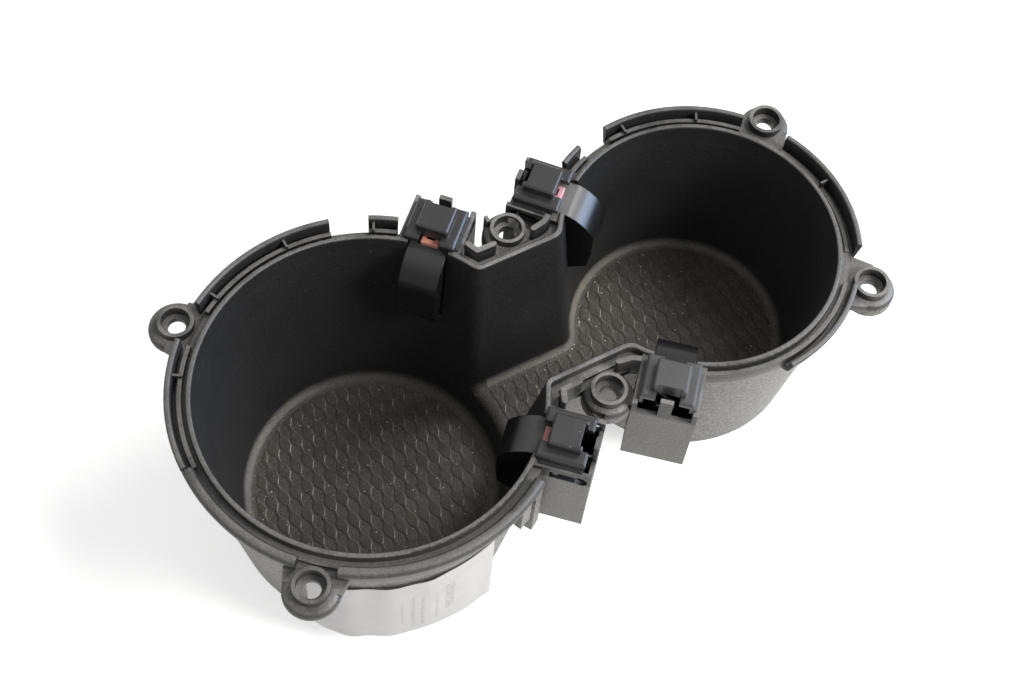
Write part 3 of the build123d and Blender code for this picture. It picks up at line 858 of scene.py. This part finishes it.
def floor_stage():
    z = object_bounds()[0].z
    mesh = bpy.data.meshes.new("floor")
    corners = [(-STAGE_HALF, -STAGE_HALF, z), (STAGE_HALF, -STAGE_HALF, z),
               (STAGE_HALF, STAGE_HALF, z), (-STAGE_HALF, STAGE_HALF, z)]
    mesh.from_pydata(corners, [], [(0, 1, 2, 3)])
    floor = linked("floor", mesh)
    s = Shader("pale_floor")
    tone = s.noise(s.place()[0], *STAGE_CLOUDS)
    s.finish(Base_Color=s.mix(tone, *STAGE_TONES), Roughness=STAGE_ROUGH)
    rays = s.node("ShaderNodeLightPath", {}).outputs
    seen = s.highest(rays["Is Camera Ray"], rays["Is Glossy Ray"], rays["Is Transmission Ray"])
    glow = s.node("ShaderNodeEmission", {"Color": WHITE, "Strength": STAGE_GLOW}).outputs[0]
    plain = s.surface.outputs[0]
    both = s.node("ShaderNodeAddShader", {0: plain, 1: glow}).outputs[0]
    shown = s.node("ShaderNodeMixShader", {0: seen, 1: plain, 2: both}).outputs[0]
    s.feed(s.output.inputs["Surface"], shown)
    mesh.materials.append(s.material)


def aimed(place, aim, roll=0.0):
    turn = (Vector(aim) - Vector(place)).to_track_quat("-Z", "Y").to_matrix().to_4x4()
    return Matrix.Translation(place) @ turn @ Matrix.Rotation(radians(roll), 4, "Z")


def lamp(name, place, size, power, tint):
    data = bpy.data.lights.new(name, "AREA")
    data.shape = "DISK"
    data.size = size
    data.energy = power
    data.color = tint
    made = linked(name, data)
    made.matrix_world = aimed(place, LAMP_AIM)
    return made


def sky():
    """A white background that gives less light than it shows."""
    world = bpy.data.worlds.new("studio")
    world.use_nodes = True
    tree = world.node_tree
    background = tree.nodes["Background"]
    background.inputs["Color"].default_value = (*WHITE, 1.0)
    rays = tree.nodes.new("ShaderNodeLightPath").outputs
    seen = rays["Is Camera Ray"]
    for ray in ("Is Glossy Ray", "Is Transmission Ray"):
        either = tree.nodes.new("ShaderNodeMath")
        either.operation = "MAXIMUM"
        tree.links.new(seen, either.inputs[0])
        tree.links.new(rays[ray], either.inputs[1])
        seen = either.outputs[0]
    level = tree.nodes.new("ShaderNodeMapRange")
    level.inputs["To Min"].default_value = SKY
    tree.links.new(seen, level.inputs["Value"])
    tree.links.new(level.outputs[0], background.inputs["Strength"])
    bpy.context.scene.world = world


def studio():
    sky()
    lamp("key", KEY_PLACE, KEY_SIZE, KEY_POWER, WARM)
    lamp("fill", FILL_PLACE, FILL_SIZE, FILL_POWER, WARM)
    window = lamp("window", WINDOW_PLACE, WINDOW_SIZE, WINDOW_POWER, BLUE)
    window.visible_diffuse = False
    data = bpy.data.cameras.new("camera")
    data.sensor_width = SENSOR_WIDTH
    data.lens = CAMERA_LENS
    camera = linked("camera", data)
    camera.matrix_world = aimed(CAMERA_PLACE, CAMERA_AIM, CAMERA_ROLL)
    scene = bpy.context.scene
    scene.camera = camera
    scene.view_settings.view_transform = "Standard"


dress()
lay_scales()
floor_stage()
studio()
